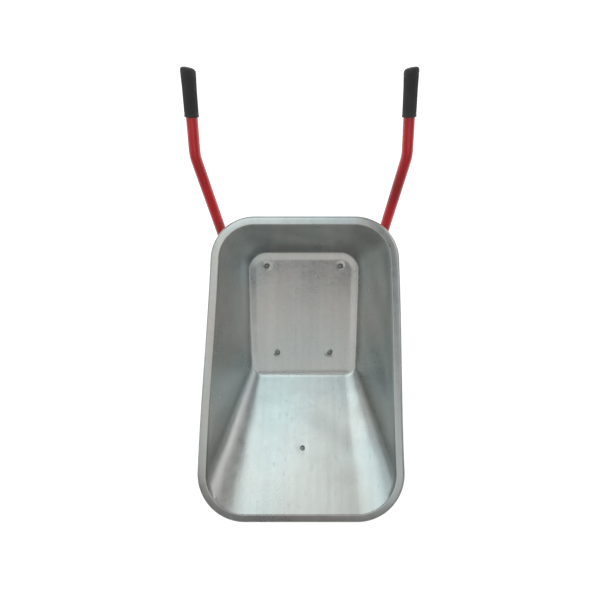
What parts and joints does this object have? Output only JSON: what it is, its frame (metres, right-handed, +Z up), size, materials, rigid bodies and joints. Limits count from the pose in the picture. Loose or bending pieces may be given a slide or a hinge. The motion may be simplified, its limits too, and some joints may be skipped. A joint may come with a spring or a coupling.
{
  "type": "wheelbarrow",
  "caption": "Single-wheel wheelbarrow with a deep pressed sheet tray, a bent tubular frame that forms the handles, two standing legs and a pneumatic wheel.",
  "frame": {"origin": "on the ground at the middle of the overall box, between the tyre's front and the grip ends", "axes": "+Y from the wheel to the handles, +Z up, +X to the left hand of the person who pushes it"},
  "size_m": [0.6274, 1.272, 0.6803],
  "materials": {
    "galvanised": "hot-dip galvanised sheet, satin, soft spangle",
    "red_paint": "gloss red enamel",
    "grip": "matt black moulded, fine lengthwise ribs",
    "tyre": "black vulcanised rubber",
    "rubber": "soft black rubber",
    "black_plastic": "matt black",
    "bearing_steel": "ground bearing steel",
    "rim_zinc": "silver enamel on pressed steel",
    "zinc": "bright zinc plate"
  },
  "bodies": {
    "frame": {"axle_bolt": "zinc", "axle_bracket_left": "red_paint", "axle_bracket_right": "red_paint", "axle_nut": "zinc", "axle_spacer_left": "zinc", "axle_spacer_right": "zinc", "axle_washer_left": "zinc", "axle_washer_right": "zinc", "bearing_inner_left": "bearing_steel", "bearing_inner_right": "bearing_steel", "bearing_spacer": "zinc", "front_cross_member": "red_paint", "grip_left": "grip", "grip_right": "grip", "leg_brace": "red_paint", "leg_left": "red_paint", "leg_right": "red_paint", "nose_stay": "red_paint", "rail_left": "red_paint", "rail_plug_left": "grip", "rail_plug_right": "grip", "rail_right": "red_paint", "rear_cross_member": "red_paint", "tray": "galvanised", "tray_bolt_front_left": "zinc", "tray_bolt_front_right": "zinc", "tray_bolt_nose": "zinc", "tray_bolt_rear_left": "zinc", "tray_bolt_rear_right": "zinc", "tray_nut_front_left": "zinc", "tray_nut_front_right": "zinc", "tray_nut_nose": "zinc", "tray_nut_rear_left": "zinc", "tray_nut_rear_right": "zinc", "tray_washer_front_left": "zinc", "tray_washer_front_right": "zinc", "tray_washer_nose": "zinc", "tray_washer_rear_left": "zinc", "tray_washer_rear_right": "zinc"},
    "wheel": {"hub": "zinc", "tyre": "tyre", "inner_tube": "rubber", "valve_stem": "rubber", "valve_cap": "black_plastic", "rim_half_left": "rim_zinc", "rim_half_right": "rim_zinc", "bearing_outer_left": "bearing_steel", "bearing_outer_right": "bearing_steel", "dust_cap_left": "black_plastic", "dust_cap_right": "black_plastic", "rim_bolt_1": "zinc", "rim_bolt_2": "zinc", "rim_bolt_3": "zinc", "rim_bolt_4": "zinc", "rim_nut_1": "zinc", "rim_nut_2": "zinc", "rim_nut_3": "zinc", "rim_nut_4": "zinc"},
    "bearing_cage_left": {"bearing_cage_left": "bearing_steel"},
    "bearing_cage_right": {"bearing_cage_right": "bearing_steel"}
  },
  "joints": [
    {"name": "wheel_spin", "type": "hinge", "parent": "frame", "child": "wheel", "pos_m": [0, -0.456, 0.18], "axis": [1, 0, 0], "continuous": true},
    {"name": "cage_spin_left", "type": "hinge", "parent": "frame", "child": "bearing_cage_left", "pos_m": [0, -0.456, 0.18], "axis": [1, 0, 0], "continuous": true},
    {"name": "cage_spin_right", "type": "hinge", "parent": "frame", "child": "bearing_cage_right", "pos_m": [0, -0.456, 0.18], "axis": [1, 0, 0], "continuous": true}
  ],
  "couplings": [
    {"joint": "cage_spin_left", "follows": "wheel_spin", "ratio": 0.6345},
    {"joint": "cage_spin_right", "follows": "wheel_spin", "ratio": 0.6345}
  ]
}
